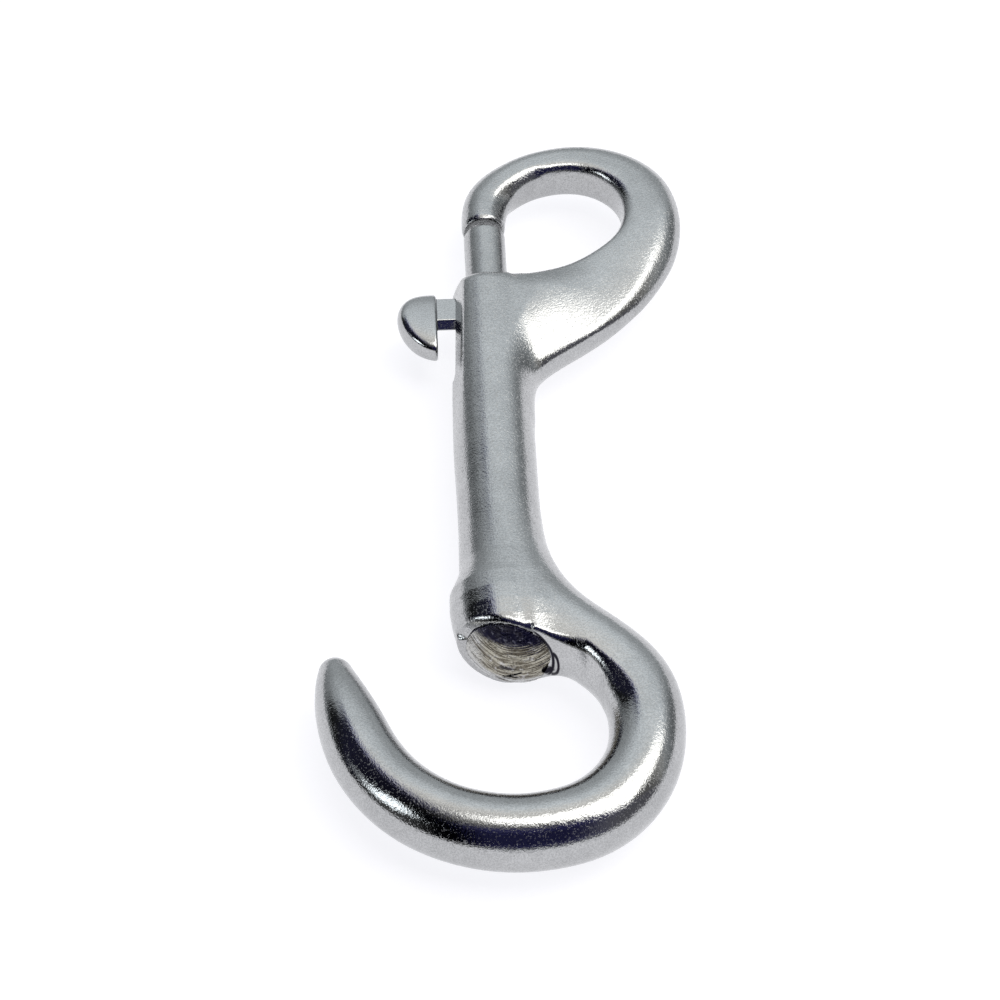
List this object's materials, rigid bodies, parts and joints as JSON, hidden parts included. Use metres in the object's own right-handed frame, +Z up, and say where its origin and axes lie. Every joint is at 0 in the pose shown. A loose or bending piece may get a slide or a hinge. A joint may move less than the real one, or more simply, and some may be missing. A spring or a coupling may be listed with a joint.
{
  "type": "bolt snap",
  "caption": "Steel bolt snap: a fixed eye shut by a spring-loaded sliding bolt with a thumb stud, on a barrel that ends in a large open hook.",
  "frame": {"origin": "middle of the underside of the whole snap, lying flat", "axes": "+Y along the barrel towards the eye, +X towards the side that the eye and the hook bulge to (the thumb stud points to -X), +Z up through the thickness"},
  "size_m": [0.0452, 0.1068, 0.0108],
  "materials": {
    "cast_steel": "satin cast stainless steel, the hook more polished than the barrel and eye",
    "bolt_steel": "drawn bar, fine satin",
    "stud_steel": "polished knob on a satin stem",
    "spring_wire": "drawn spring wire",
    "plug_face": "domed head, filed in strokes, with straw and soot-coloured streaks"
  },
  "bodies": {
    "casting": {"body": "cast_steel", "end_plug": "plug_face", "spring": "spring_wire"},
    "bolt_and_stud": {"bolt": "bolt_steel", "thumb_stud": "stud_steel"}
  },
  "joints": [
    {"name": "bolt_slide", "type": "slide", "parent": "casting", "child": "bolt_and_stud", "axis": [0, -1, 0], "range_m": [0, 0.009], "stiffness_N_per_m": 500, "springref_m": -0.006, "deforming": ["spring"]}
  ]
}
